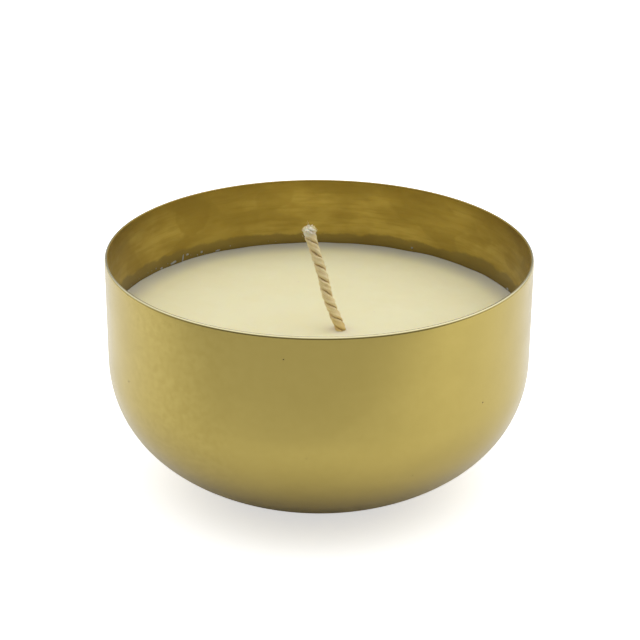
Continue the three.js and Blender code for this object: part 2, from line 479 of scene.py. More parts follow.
def brass_material():
    material, tree, shader = start_material(
        "spun_brass", Metallic=1.0, Coat_Roughness=LACQUER_ROUGHNESS)
    inside = attribute(tree, "inside")
    outside = minus(tree, 1.0, inside)
    smudges = effect(tree, "patches", Size=14 * MM, Flatness=1.4, Detail=2.0, Low=0.35, High=0.75)
    specks = effect(tree, "specks", Spacing=4 * MM, Size=0.075, Share=0.4)
    tarnish = effect(tree, "patches", Size=15 * MM, Flatness=2.4, Detail=4.0, Low=0.36, High=0.64,
                     Shift=3.0)
    outer = brass_outside(tree, smudges, specks)
    colour = blend(tree, inside, outer, brass_inside(tree, tarnish))
    below_rim = height_above(tree, RIM_HEIGHT)
    worn = times(tree, outside, ramp(tree, below_rim, -0.34 * MM, -0.12 * MM))
    satin = plus(tree, ramp(tree, smudges, 0, 1, *SATIN), times(tree, specks, 0.3))
    both = between(tree, inside, satin, ramp(tree, tarnish, 0, 1, *DULL))
    lip = times(tree, outside, ramp(tree, below_rim, -0.8 * MM, -0.6 * MM))
    dress(tree, shader, Base_Color=blend(tree, worn, colour, BARE_LIP),
          Roughness=between(tree, lip, both, LIP_ROUGHNESS), Coat_Weight=times(tree, outside, LACQUER))
    lines = effect(tree, "spin_lines", Spacing=1.1 * MM, Run=80 * MM)
    raised(tree, shader, lines, 0.006 * MM)
    return material


# %% [markdown]
# ## Wax
#
# The wax is a soft cream, not quite opaque: light goes in, spreads and comes out again, so
# its shadows are gentle. Subsurface scattering does that. The top is satin with faint clouds
# where it cooled unevenly. Towards the wall it is painted darker and greyer, as painted shade
# of the wall, and a small darker, warmer ring round the wick is painted shade and reflection
# of the wick.

# %% Wax material
WAX_CREAM = (0.838, 0.790, 0.508)
WAX_CLOUD = (0.813, 0.755, 0.468)
WAX_WALL_SHADE = (0.475, 0.464, 0.408)
WAX_SPECK_AND_WICK_SHADE = (0.74, 0.65, 0.49)
WAX_ROUGHNESS = (0.42, 0.52)
WAX_DEPTH = 2.5 * MM
WAX_SCATTER = (1.0, 0.85, 0.5)
WALL_SHADE_REACH = (7 * MM, 0.2 * MM)  # from the wall, as it starts and as it is full
WICK_SHADE_REACH = (5.2 * MM, 0.8 * MM)  # from the wick
WICK_EXIT = Vector((5.0 * MM, -6.6 * MM, 0))


def wax_material():
    material, tree, shader = start_material(
        "poured_wax", Subsurface_Weight=0.6, Subsurface_Scale=WAX_DEPTH, Subsurface_Radius=WAX_SCATTER)
    clouds = effect(tree, "patches", Size=14 * MM, Detail=4.0, Low=0.35, High=0.65)
    wall = wall_radius(WAX_LEVEL) - SHEET
    # Painted shade: the wax turns darker and greyer towards the wall.
    edge = ramp(tree, distance_from(tree, 0, 0), *(wall - reach for reach in WALL_SHADE_REACH))
    # Painted shade and reflection: a darker, warmer ring round the wick's foot. Its colour is also the
    # specks' colour.
    ring = ramp(tree, distance_from(tree, WICK_EXIT.x, WICK_EXIT.y), *WICK_SHADE_REACH)
    specks = effect(tree, "specks", Spacing=6 * MM, Size=0.06, Share=0.25)
    colour = layered(tree, WAX_CREAM, (clouds, 1.0, WAX_CLOUD), (edge, 0.8, WAX_WALL_SHADE),
                     (ring, 0.6, WAX_SPECK_AND_WICK_SHADE), (specks, 0.6, WAX_SPECK_AND_WICK_SHADE))
    dress(tree, shader, Base_Color=colour, Roughness=ramp(tree, clouds, 0, 1, *WAX_ROUGHNESS))
    grain = effect(tree, "patches", Size=1.5 * MM, Low=0.2, High=0.8)
    raised(tree, shader, grain, 0.02 * MM)
    return material


# %% [markdown]
# ## Waxed cotton
#
# The wick is cotton yarn dipped in wax. It is cream, with brown painted shade in the groove
# between its two strands, and it turns white at the cut end, where the dry fibres stand loose.
# Fine streaks follow the strands, so the pattern reads an attribute that the strand's own
# surface carries, not a place in space.

# %% Cotton materials
COTTON_CREAM = (0.93, 0.80, 0.48)
COTTON_STREAK = (0.82, 0.66, 0.34)
COTTON_GROOVE_SHADE = (0.58, 0.39, 0.16)
COTTON_WHITE = (0.97, 0.93, 0.82)
COTTON_SOAKED = (0.74, 0.56, 0.215)
COTTON_DEPTH = 0.6 * MM
COTTON_SCATTER = (1.0, 0.8, 0.5)


def cotton_material():
    material, tree, shader = start_material(
        "waxed_cotton", Subsurface_Weight=0.35, Subsurface_Scale=COTTON_DEPTH,
        Subsurface_Radius=COTTON_SCATTER)
    inputs = {"Vector": attribute(tree, "strand", "Vector"), "Scale": 1.0, "Detail": 3.0}
    streaks = place(tree, "ShaderNodeTexNoise", inputs).outputs[0]
    streaked = ramp(tree, streaks, 0.42, 0.62)
    soaked = ramp(tree, height_above(tree, WAX_LEVEL), 5 * MM, 0.3 * MM)
    dry = ramp(tree, attribute(tree, "from_tip"), 2.6 * MM, 1.0 * MM)
    # The groove between the strands gets brown painted shade.
    colour = layered(tree, COTTON_CREAM, (streaked, 1.0, COTTON_STREAK), (soaked, 1.0, COTTON_SOAKED),
                     (attribute(tree, "groove"), 0.5, COTTON_GROOVE_SHADE), (dry, 1.0, COTTON_WHITE))
    dress(tree, shader, Base_Color=colour, Roughness=ramp(tree, streaks, 0.3, 0.7, 0.45, 0.65))
    raised(tree, shader, streaks, 0.03 * MM)
    return material


def fibre_material():
    material, tree, shader = start_material(
        "loose_cotton", Roughness=0.7, Subsurface_Weight=0.2, Subsurface_Scale=0.3 * MM)
    patches = effect(tree, "patches", Size=1.5 * MM, Detail=2.0)
    dress(tree, shader, Base_Color=blend(tree, patches, COTTON_WHITE, COTTON_CREAM))
    return material


# %% [markdown]
# ## The hidden materials
#
# Three pieces are seen only when the candle is taken apart or turned over: a tinplate clip
# with fine rolling lines, a foam dot with open cells, and a paper disc under the foot with a
# plain printed ring and no words on it.

# %% Tinplate, foam and paper
TINPLATE = (0.62, 0.62, 0.60)
TINPLATE_DULL = (0.45, 0.45, 0.43)
FOAM_WHITE = (0.80, 0.79, 0.75)
FOAM_SHADE = (0.60, 0.59, 0.55)
PAPER_WHITE = (0.83, 0.81, 0.76)
PAPER_FIBRE = (0.74, 0.71, 0.64)
PRINT_BROWN = (0.20, 0.14, 0.08)
PRINT_RADIUS = 13.4 * MM
CELL_SIZE = 0.35 * MM


def tinplate_material():
    material, tree, shader = start_material("tinplate", Metallic=1.0)
    lines = effect(tree, "spin_lines", Spacing=0.12 * MM, Run=8 * MM)
    stains = effect(tree, "patches", Size=5 * MM, Detail=4.0, Low=0.45, High=0.7)
    dress(tree, shader, Base_Color=blend(tree, stains, TINPLATE, TINPLATE_DULL),
          Roughness=ramp(tree, stains, 0, 1, 0.28, 0.5))
    raised(tree, shader, lines, 0.01 * MM)
    return material


def foam_material():
    material, tree, shader = start_material("foam", Roughness=0.95)
    inputs = {"Vector": scaled(tree, object_place(tree), 1 / CELL_SIZE), "Scale": 1.0}
    cells = place(tree, "ShaderNodeTexVoronoi", inputs).outputs["Distance"]
    pits = ramp(tree, cells, 0.6, 0.1)
    dress(tree, shader, Base_Color=blend(tree, pits, FOAM_WHITE, FOAM_SHADE))
    raised(tree, shader, cells, 0.12 * MM)
    return material


def paper_material():
    material, tree, shader = start_material("label_paper", Roughness=0.75)
    fibres = effect(tree, "patches", Size=0.9 * MM, Detail=5.0, Low=0.4, High=0.65)
    colour = blend(tree, fibres, PAPER_WHITE, PAPER_FIBRE)
    offset = sums(tree, "ABSOLUTE", minus(tree, distance_from(tree, 0, 0), PRINT_RADIUS))
    ring = ramp(tree, offset, 0.28 * MM, 0.2 * MM)
    dress(tree, shader, Base_Color=blend(tree, ring, colour, PRINT_BROWN))
    raised(tree, shader, fibres, 0.015 * MM)
    return material


# %% [markdown]
# ## Turning a section
#
# Four pieces are round: the bowl, the wax, the foam dot and the paper disc, and the clip is
# nearly so. Each could be spun by a modifier, but the rule is simple enough to write down: a
# grid has one column for each step round the axis and one row for each point of the section,
# and every grid point takes its radius and height from its row and its angle from its column.
# Geometry Nodes does this for any section, and the same tree closes the seam and the poles.

# %% Steps that the trees share
WELD_REACH = 0.001 * MM


def flat_grid(tree, columns, rows):
    """A grid, and for each of its points the number of its column and of its row."""
    inputs = {"Vertices X": columns, "Vertices Y": rows}
    grid = place(tree, "GeometryNodeMeshGrid", inputs).outputs["Mesh"]
    index = tree.nodes.new("GeometryNodeInputIndex").outputs[0]
    return grid, sums(tree, "FLOOR", over(tree, index, rows)), sums(tree, "MODULO", index, rows)


def moved(tree, geometry, spot):
    inputs = {"Geometry": geometry, "Position": spot}
    return place(tree, "GeometryNodeSetPosition", inputs).outputs[0]


def marked(tree, geometry, name, value, kind="FLOAT"):
    inputs = {"Geometry": geometry, "Name": name, "Value": value}
    settings = {"data_type": kind, "domain": "POINT"}
    return place(tree, "GeometryNodeStoreNamedAttribute", inputs, **settings).outputs[0]


def welded(tree, geometry):
    inputs = {"Geometry": geometry, "Distance": WELD_REACH}
    return place(tree, "GeometryNodeMergeByDistance", inputs).outputs[0]


def finish_tree(tree, geometry, material, output):
    smooth = place(tree, "GeometryNodeSetShadeSmooth", {"Geometry": geometry}).outputs[0]
    real = place(tree, "GeometryNodeRealizeInstances", {"Geometry": smooth}).outputs[0]
    inputs = {"Geometry": real, "Material": material}
    tree.links.new(place(tree, "GeometryNodeSetMaterial", inputs).outputs[0], output)


# %% The turning tree
NO_ROW = 9999  # past the last row of any section


def turning_tree():
    tree, sizes, result = start_group(
        "GeometryNodeTree", "turn_section", "Piece", "Geometry", Section="Geometry",
        Segments=128, Inside_From=NO_ROW, Material="Material")
    section = sizes["Section"]
    measure = place(tree, "GeometryNodeAttributeDomainSize", {"Geometry": section})
    count = measure.outputs["Point Count"]
    grid, column, row = flat_grid(tree, plus(tree, sizes["Segments"], 1.0), count)
    spot = tree.nodes.new("GeometryNodeInputPosition").outputs[0]
    inputs = {"Geometry": section, "Value": spot, "Index": row}
    point = place(tree, "GeometryNodeSampleIndex", inputs, data_type="FLOAT_VECTOR").outputs["Value"]
    radius, height = (parts(tree, point)[key] for key in "XZ")
    angle = over(tree, times(tree, column, TURN), sizes["Segments"])
    across = times(tree, radius, sums(tree, "COSINE", angle))
    aside = times(tree, radius, sums(tree, "SINE", angle))
    turned = moved(tree, grid, join(tree, across, aside, height))
    inside = sums(tree, "GREATER_THAN", row, minus(tree, sizes["Inside From"], 0.5))
    closed = welded(tree, marked(tree, turned, "inside", inside))
    finish_tree(tree, closed, sizes["Material"], result)
    return tree


# %% [markdown]
# A tree only describes a shape. To use it, the tree is put on a draft object as a modifier,
# its inputs are set, and the result is copied into a plain mesh. After that the draft and
# the modifier are gone, and what is left is an ordinary piece that can be given to the frame.

# %% Running a tree, and handing a piece to the frame
def run_tree(name, mesh, tree, sizes):
    draft = bpy.data.objects.new(name + "_draft", mesh)
    bpy.context.scene.collection.objects.link(draft)
    modifier = draft.modifiers.new(tree.name, "NODES")
    modifier.node_group = tree
    for socket in tree.interface.items_tree:
        if socket.in_out == "INPUT" and socket.name in sizes:
            modifier[socket.identifier] = sizes[socket.name]
    depsgraph = bpy.context.evaluated_depsgraph_get()
    result = bpy.data.meshes.new_from_object(
        draft.evaluated_get(depsgraph), preserve_all_data_layers=True, depsgraph=depsgraph)
    draft.modifiers.remove(modifier)
    bpy.data.objects.remove(draft)
    result.name = name
    piece = bpy.data.objects.new(name, result)
    bpy.context.scene.collection.objects.link(piece)
    return piece


def face_outwards(mesh):
    work = bmesh.new()
    work.from_mesh(mesh)
    bmesh.ops.recalc_face_normals(work, faces=work.faces)
    work.to_mesh(mesh)
    work.free()


def hand_over(piece, slot, *nodes):
    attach(piece, "root")
    if nodes:
        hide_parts(*nodes)
    low = [min(v.co[k] for v in piece.data.vertices) / MM for k in range(3)]
    high = [max(v.co[k] for v in piece.data.vertices) / MM for k in range(3)]
    size = " x ".join(f"{b - a:.1f}" for a, b in zip(low, high))
    triangles = sum(len(face.vertices) - 2 for face in piece.data.polygons)
    print(f"{piece.name}: {size} mm, {triangles} triangles")


def line_mesh(name, points):
    mesh = bpy.data.meshes.new(name)
    mesh.from_pydata(points, [(i, i + 1) for i in range(len(points) - 1)], [])
    return mesh


def turn(name, section, segments, material, inside_from=NO_ROW):
    sizes = {"Segments": segments, "Inside From": inside_from, "Material": material}
    piece = run_tree(name, line_mesh(name + "_section", section), TURNING, sizes)
    face_outwards(piece.data)
    return piece


TURNING = turning_tree()

# %% [markdown]
# ## Sections with soft corners
#
# No real edge is sharp. A sheet that was spun and trimmed has a small round edge, and the
# light line on it is what makes metal look like metal. The helper below replaces each sharp
# corner of a section by a short curve. It also puts one more point on the flats just outside
# the curve, so that smooth shading stays flat there.

# %% Section helpers
def at(radius, height):
    return Vector((radius, 0, height))


def soften(points, reach, steps=4, sharp=math.radians(20)):
    result = [points[0]]
    for before, corner, after in zip(points, points[1:], points[2:]):
        back, ahead = before - corner, after - corner
        if math.pi - back.angle(ahead) < sharp:
            result.append(corner)
            continue
        back_reach = min(reach, 0.4 * back.length)
        ahead_reach = min(reach, 0.4 * ahead.length)
        start = corner + back.normalized() * back_reach
        end = corner + ahead.normalized() * ahead_reach
        result.append(corner + back.normalized() * back_reach * 1.2)
        for i in range(steps + 1):
            t = i / steps
            result.append(start * (1 - t) ** 2 + corner * 2 * t * (1 - t) + end * t**2)
        result.append(corner + ahead.normalized() * ahead_reach * 1.2)
    result.append(points[-1])
    return result


def arc(centre, wide, tall, start, end, steps):
    angles = [math.radians(start + (end - start) * i / steps) for i in range(steps + 1)]
    return [centre + at(wide * math.cos(a), tall * math.sin(a)) for a in angles]


# %% [markdown]
# ## The bowl
#
# The bowl is one piece of sheet, spun over a form. Outside, a low foot ring stands on the
# table, a flat slope leaves it, one long curve turns up, and the wall rises almost straight.
# Inside, the same line runs parallel at the thickness of the sheet. So the section is drawn
# once for the outside and offset for the inside, with a rounded lip between them. The lip's
# outer corner is taller than it is wide, as a trimmed and rubbed edge is. It mirrors the dark
# room low down and the light overhead higher up, as a dark line with a bright one above it.

# %% Bowl section
LIP_WIDE = 0.5 * MM
LIP_TALL = 0.66 * MM
INNER_EDGE = 0.22 * MM
CURVE_POINTS = 56
WALL_POINTS = 10


def wall_radius(height):
    return RIM_RADIUS - (RIM_HEIGHT - height) * math.tan(WALL_DRAFT)


def outer_line():
    foot = at(FOOT_RADIUS, 0)
    shoulder = at(wall_radius(SHOULDER_HEIGHT), SHOULDER_HEIGHT)
    slope = at(math.cos(FOOT_SLOPE), math.sin(FOOT_SLOPE))
    down_wall = at(-math.sin(WALL_DRAFT), -math.cos(WALL_DRAFT))
    knots = (foot, foot + slope * FOOT_PULL, shoulder + down_wall * SHOULDER_PULL, shoulder)
    line = list(interpolate_bezier(*knots, CURVE_POINTS))
    top = RIM_HEIGHT - LIP_TALL
    for i in range(1, WALL_POINTS + 1):
        height = SHOULDER_HEIGHT + (top - SHOULDER_HEIGHT) * i / WALL_POINTS
        line.append(at(wall_radius(height), height))
    return line


def offset_line(line, distance):
    result = []
    for i, point in enumerate(line):
        along = (line[min(i + 1, len(line) - 1)] - line[max(i - 1, 0)]).normalized()
        result.append(point + Vector((-along.z, 0, along.x)) * distance)
    return result


def bowl_section():
    outside = outer_line()
    inside = offset_line(outside, SHEET)
    foot = [at(0, RECESS_DEPTH), at(RECESS_RADIUS, RECESS_DEPTH), at(RECESS_RADIUS + RECESS_DEPTH, 0)]
    floor = [point + at(0, SHEET) for point in reversed(foot)]
    low, high = RIM_HEIGHT - LIP_TALL, RIM_HEIGHT - INNER_EDGE
    lip = arc(at(wall_radius(low) - LIP_WIDE, low), LIP_WIDE, LIP_TALL, 0, 90, 14)[1:]
    inner_lip = arc(at(wall_radius(high) - SHEET + INNER_EDGE, high), INNER_EDGE, INNER_EDGE, 90, 180, 5)
    under = soften(foot + outside, 0.25 * MM) + lip
    over = inner_lip + soften(inside[::-1] + floor, 0.25 * MM)
    return under + over, len(under)


# %% Bowl
BRASS = brass_material()
section, inside_from = bowl_section()
bowl = turn("spun_bowl", section, 256, BRASS, inside_from)
hand_over(bowl, "brass", "bowl")

# %% [markdown]
# ## The wax
#
# Wax fills the bowl from below, so its underside copies the inside of the bowl and the clip
# that stands on the floor. On top it climbs the wall a little, as every liquid does, and
# keeps that edge when it sets. It also climbs the wick in a small mound, and as it cools it
# sinks by a hair in slow waves. The block is turned like the bowl, then its top is moved by
# those three rules.

# %% Wax
CLIMB = 0.22 * MM
CLIMB_REACH = 0.9 * MM
MOUND = 0.3 * MM
MOUND_REACH = 1.9 * MM
WAVE = 0.22 * MM
WAVE_LENGTH = 22 * MM
CLIP_ROOM = 0.3 * MM
CLIP_RADIUS = (clip_high.x - clip_low.x) / 2
CLIP_THICKNESS = 0.3 * MM
NECK_OUTSIDE = 2.7 * MM
TOP_STEPS = (0.12, 0.3, 0.55, 0.9, 1.4, 2.0, 2.8, 3.8, 5.0)  # from the wall, in mm


def wax_section():
    wall_line = offset_line(outer_line(), SHEET + CAST_GAP)
    side = [p for p in wall_line if RECESS_DEPTH + SHEET + CAST_GAP < p.z < WAX_LEVEL - 0.5 * MM]
    floor = RECESS_DEPTH + SHEET + CAST_GAP
    wall = wall_radius(WAX_LEVEL) - SHEET - CAST_GAP
    neck_top = clip_high.z + CLIP_ROOM
    clip_top = clip_low.z + CLIP_THICKNESS + CLIP_ROOM
    clip_edge = CLIP_RADIUS + CLIP_ROOM
    room = [at(0, neck_top), at(NECK_OUTSIDE, neck_top), at(NECK_OUTSIDE, clip_top),
            at(clip_edge, clip_top), at(clip_edge, floor), at(side[0].x - 0.3 * MM, floor)]
    below = soften(room + side, 0.3 * MM)
    edge = [at(wall, WAX_LEVEL + CLIMB * 0.96)]
    top = [at(wall - step * MM, WAX_LEVEL) for step in TOP_STEPS]
    radius = top[-1].x
    while radius > 0.6 * MM:
        radius -= 1.3 * MM if radius > 13 * MM else 0.5 * MM
        top.append(at(max(radius, 0), WAX_LEVEL))
    top[-1] = at(0, WAX_LEVEL)
    return below + edge + top


def shape_wax_top(mesh):
    wall = wall_radius(WAX_LEVEL) - SHEET - CAST_GAP
    for vertex in mesh.vertices:
        spot = vertex.co
        if spot.z < WAX_LEVEL - 0.05 * MM:
            continue
        from_wall = max(wall - spot.xy.length, 0)
        from_wick = (spot.xy - WICK_EXIT.xy).length
        ripple = noise.noise(spot / WAVE_LENGTH) + 0.35 * noise.noise(spot * 3.1 / WAVE_LENGTH)
        uneven = 1 + 0.5 * noise.noise(spot / (7 * MM))
        height = WAX_LEVEL + WAVE * (ripple - 0.5)
        height += CLIMB * uneven * math.exp(-((from_wall / CLIMB_REACH) ** 1.3))
        height += MOUND * math.exp(-((from_wick / MOUND_REACH) ** 2))
        spot.z = height


WAX = wax_material()
wax = turn("poured_wax", wax_section(), 256, WAX)
shape_wax_top(wax.data)
hand_over(wax, "wax", "wax_fill")

# %% [markdown]
# ## The wick's line
#
# The wick stands in the clip, leans in the soft wax as it sets, and bends back over the
# middle. Its line is the same list of points as in the CAD model. A smooth line goes through
# them all: between two points it is a cubic whose slopes come from the neighbours, weighted
# by the square root of the distances, so that close points don't make it swing.

# %% Wick line
CLIP_FLOOR = clip_low.z + 0.4 * MM
WICK_ROUTE = [
    (0, 0, CLIP_FLOOR / MM), (0, 0, 8.5), (1.9, -2.2, 20), (4.4, -5.3, 32), (5.3, -6.8, 38),
    (4.9, -6.5, 40.5), (3.9, -5.6, 42.8), (2.1, -4.2, 47.1), (0.8, -2.6, 51.9), (-0.6, -1.1, 56.2),
    (-2.1, 0.5, 60.7), (-2.6, 1.2, 63),
]


def smooth_line(points, steps):
    ends = [2 * points[0] - points[1], *points, 2 * points[-1] - points[-2]]
    line = [points[0]]
    for p0, p1, p2, p3 in zip(ends, ends[1:], ends[2:], ends[3:]):
        d0, d1, d2 = ((b - a).length ** 0.5 for a, b in ((p0, p1), (p1, p2), (p2, p3)))
        leave = ((p1 - p0) / d0 - (p2 - p0) / (d0 + d1) + (p2 - p1) / d1) * d1
        arrive = ((p2 - p1) / d1 - (p3 - p1) / (d1 + d2) + (p3 - p2) / d2) * d1
        line += interpolate_bezier(p1, p1 + leave / 3, p2 - arrive / 3, p2, steps)[1:]
    return line


TUFT_ROOM = 4  # points left off the line's end, where the tuft stands
wick_line = smooth_line([Vector(point) * MM for point in WICK_ROUTE], 24)[:-TUFT_ROOM]
wick_length = sum((b - a).length for a, b in zip(wick_line, wick_line[1:]))
print(f"wick line: {len(wick_line)} points, {wick_length / MM:.1f} mm long")

# %% [markdown]
# ## The wick's two strands
#
# Two yarns are twisted round each other and pressed together, so each has a section like a
# thick letter D. A profile swept along a helix would do, but the D has to keep its flat side
# to its neighbour all the way. Writing the surface as a rule is surer: a grid has one column
# for each step along the line and one row for each point round the strand. The tree works out
# a small D with fine ridges, turns it with the twist, and places it on the line. The same
# tree makes both strands: only the phase differs.

# %% The strand tree
def wave(tree, along):
    inputs = {"W": along, "Scale": 1.0}
    return place(tree, "ShaderNodeTexNoise", inputs, noise_dimensions="1D").outputs[0]


def strand_tree():
    tree, sizes, result = start_group(
        "GeometryNodeTree", "twist_strand", "Strand", "Geometry", Line="Geometry", Steps=640,
        Sides=44, Phase=0.0, Pitch=6.2 * MM, Centre=0.42 * MM, Outer=0.74 * MM,
        Inner=0.41 * MM, Width=1.06 * MM, Ridges=9.0, Ridge_Depth=0.02, Ridge_Pitch=7 * MM,
        End_Length=0.9 * MM, Flare=0.18, Material="Material")
    curve = place(tree, "GeometryNodeMeshToCurve", {"Mesh": sizes["Line"]}).outputs[0]
    length = place(tree, "GeometryNodeCurveLength", {"Curve": curve}).outputs[0]
    rows = plus(tree, sizes["Sides"], 1.0)
    grid, column, row = flat_grid(tree, plus(tree, sizes["Steps"], 1.0), rows)
    factor = over(tree, column, sizes["Steps"])
    along = times(tree, factor, length)
    to_tip = minus(tree, length, along)

    wander = wave(tree, over(tree, along, 5 * MM))
    twist = over(tree, times(tree, along, -TURN), sizes["Pitch"])
    twist = plus(tree, twist, sizes["Phase"], times(tree, wander, 1.6))
    around = times(tree, over(tree, row, sizes["Sides"]), TURN)
    cosine, sine = sums(tree, "COSINE", around), sums(tree, "SINE", around)
    outward = times(tree, sizes["Outer"], sums(tree, "MAXIMUM", cosine, 0.0))
    inward = sums(tree, "MAXIMUM", times(tree, cosine, -1.0), 0.0)
    flattened = sums(tree, "POWER", inward, 0.5)
    reach = minus(tree, outward, times(tree, sizes["Inner"], flattened))
    height = sums(tree, "POWER", sums(tree, "ABSOLUTE", sine), 0.75)
    height = times(tree, sums(tree, "SIGN", sine), height)
    ridge_turn = over(tree, times(tree, along, TURN), sizes["Ridge Pitch"])
    ridge_angle = times(tree, sizes["Ridges"], plus(tree, around, ridge_turn))
    ridge = times(tree, sums(tree, "COSINE", ridge_angle), sizes["Ridge Depth"])
    lump = wave(tree, plus(tree, over(tree, along, 3 * MM), times(tree, sizes["Phase"], 7.0)))
    flare = times(tree, ramp(tree, to_tip, 4.5 * MM, 0.8 * MM), sizes["Flare"])
    swell = plus(tree, ramp(tree, lump, 0.3, 0.7, 0.93, 1.07), plus(tree, ridge, flare))
    near_end = over(tree, sums(tree, "MINIMUM", along, to_tip), sizes["End Length"])
    slack = minus(tree, 1.0, sums(tree, "MINIMUM", near_end, 1.0))
    taper = sums(tree, "SQRT", minus(tree, 1.0, times(tree, slack, slack)))
    out = plus(tree, sizes["Centre"], times(tree, reach, swell))
    side = times(tree, sizes["Width"], height, swell)
    out, side = (times(tree, value, taper) for value in (out, side))

    inputs = {"Curves": curve, "Factor": factor}
    sample = place(tree, "GeometryNodeSampleCurve", inputs, mode="FACTOR")
    tangent = vectors(tree, "NORMALIZE", sample.outputs["Tangent"])
    lean = vectors(tree, "DOT_PRODUCT", tangent, (1.0, 0.0, 0.0))
    level = vectors(tree, "SUBTRACT", (1.0, 0.0, 0.0), scaled(tree, tangent, lean))
    first = vectors(tree, "NORMALIZE", level)
    second = vectors(tree, "CROSS_PRODUCT", tangent, first)
    turn_cos, turn_sin = sums(tree, "COSINE", twist), sums(tree, "SINE", twist)
    along_first = minus(tree, times(tree, out, turn_cos), times(tree, side, turn_sin))
    along_second = plus(tree, times(tree, out, turn_sin), times(tree, side, turn_cos))
    spot = vectors(tree, "ADD", scaled(tree, first, along_first), scaled(tree, second, along_second))
    mesh = moved(tree, grid, vectors(tree, "ADD", sample.outputs["Position"], spot))

    streak_x = times(tree, plus(tree, cosine, sizes["Phase"]), 5.0)
    streak_at = join(tree, streak_x, times(tree, sine, 5.0), over(tree, along, 2.5 * MM))
    # Where the strand turns towards its neighbour: the mask for the painted shade in the groove.
    mesh = marked(tree, mesh, "groove", ramp(tree, cosine, 0.02, -0.12))
    mesh = marked(tree, mesh, "from_tip", to_tip)
    mesh = marked(tree, mesh, "strand", streak_at, "FLOAT_VECTOR")
    finish_tree(tree, welded(tree, mesh), sizes["Material"], result)
    return tree


# %% Two strands
STRANDS = strand_tree()
COTTON = cotton_material()
strands = []
for number, phase in enumerate((0.6, 0.6 + math.pi), start=1):
    name = f"wick_strand_{number}"
    sizes = {"Phase": phase, "Material": COTTON}
    strand = run_tree(name, line_mesh(name + "_line", wick_line), STRANDS, sizes)
    face_outwards(strand.data)
    hand_over(strand, "wick_cotton", f"wick_ply_{number}")
    strands.append(strand)

# %% [markdown]
# ## Scattering small things
#
# Loose fibres on the wick, the frayed tuft at its end and crumbs of wax on the wall are all
# the same kind of thing: many small shapes spread at random over a surface. One tree does
# them all. It takes the surface, the small shape, how many to the square metre and between
# which heights, and how far each leans upward. The seed is fixed, so that every run puts
# them in the same places.

# %% The scattering tree
def scattering_tree():
    tree, sizes, result = start_group(
        "GeometryNodeTree", "scatter", "Pieces", "Geometry", Surface="Geometry", Shape="Object",
        Density=1e6, Seed=1, Lowest=0.0, Highest=1.0, Upward=0.0, Spread=0.5, Smallest=0.5,
        Largest=1.0, Material="Material")
    spot = tree.nodes.new("GeometryNodeInputPosition").outputs[0]
    height = parts(tree, spot)["Z"]
    chosen = times(tree, sums(tree, "GREATER_THAN", height, sizes["Lowest"]),
                  sums(tree, "LESS_THAN", height, sizes["Highest"]))
    inputs = {"Mesh": sizes["Surface"], "Selection": chosen, "Density": sizes["Density"],
              "Seed": sizes["Seed"]}
    spread = place(tree, "GeometryNodeDistributePointsOnFaces", inputs)
    upward = scaled(tree, (0.0, 0.0, 1.0), sizes["Upward"])
    level = scaled(tree, spread.outputs["Normal"], minus(tree, 1.0, sizes["Upward"]))
    facing = vectors(tree, "NORMALIZE", vectors(tree, "ADD", level, upward))
    stand = place(tree, "FunctionNodeAlignRotationToVector", {"Vector": facing}, axis="Z").outputs[0]
    tilt = vectors(tree, "ADD", scaled(tree, (1.0, 1.0, 0.0), sizes["Spread"]), (0.0, 0.0, math.pi))
    inputs = {0: scaled(tree, tilt, -1.0), 1: tilt, "Seed": sizes["Seed"]}
    chance = place(tree, "FunctionNodeRandomValue", inputs, data_type="FLOAT_VECTOR").outputs["Value"]
    inputs = {0: stand, 1: chance}
    turned = place(tree, "FunctionNodeRotateRotation", inputs, rotation_space="LOCAL").outputs[0]
    size = tree.nodes.new("FunctionNodeRandomValue")
    for key, value in (("Min", sizes["Smallest"]), ("Max", sizes["Largest"]), ("Seed", sizes["Seed"])):
        socket = [s for s in size.inputs if s.name == key and s.enabled and s.type != "VECTOR"][0]
        feed(tree, socket, value)
    shape = place(tree, "GeometryNodeObjectInfo", {"Object": sizes["Shape"]}).outputs["Geometry"]
    inputs = {"Points": spread.outputs["Points"], "Instance": shape, "Rotation": turned,
              "Scale": [s for s in size.outputs if s.enabled][0]}
    pieces = place(tree, "GeometryNodeInstanceOnPoints", inputs).outputs[0]
    finish_tree(tree, pieces, sizes["Material"], result)
    return tree


def mesh_from(name, work):
    mesh = bpy.data.meshes.new(name)
    work.to_mesh(mesh)
    work.free()
    return mesh


LUMPS = 0.35


def fibre_shape(length, thickness, bend, rows=6, sides=4):
    """A bent fibre that stands on the origin and thins out towards its tip."""
    work = bmesh.new()
    rings = []
    for row in range(rows + 1):
        t = row / rows
        radius = thickness / 2 * (1 - 0.6 * t)
        centre = Vector((bend * t * t, 0, length * t))
        turns = [TURN * k / sides for k in range(sides)]
        round_it = [Vector((math.cos(a), math.sin(a), 0)) for a in turns]
        rings.append([work.verts.new(centre + outward * radius) for outward in round_it])
    for low, high in zip(rings, rings[1:]):
        for k in range(sides):
            n = (k + 1) % sides
            work.faces.new((low[k], low[n], high[n], high[k]))
    work.faces.new(rings[0][::-1])
    work.faces.new(rings[-1])
    return bpy.data.objects.new("fibre", mesh_from("fibre", work))


def crumb_shape(size, thickness):
    """A small rounded crumb of wax that lies on the origin."""
    work = bmesh.new()
    bmesh.ops.create_icosphere(work, subdivisions=2, radius=1)
    for vertex in work.verts:
        lumpy = 1 + LUMPS * noise.noise(vertex.co * 1.3)
        x, y, z = vertex.co
        vertex.co = Vector((x * size, y * size * 0.6, z * thickness)) * lumpy / 2
    return bpy.data.objects.new("crumb", mesh_from("crumb", work))


SCATTER = scattering_tree()

# %% [markdown]
# ## Loose cotton
#
# A dipped wick is smooth, but not perfectly: short fibres stand off it here and there. Where
# it was cut they stand loose in a whitish tuft, a little wider than the wick, and two or
# three long ones stick up out of it. All of them grow out of the strands' own surface.

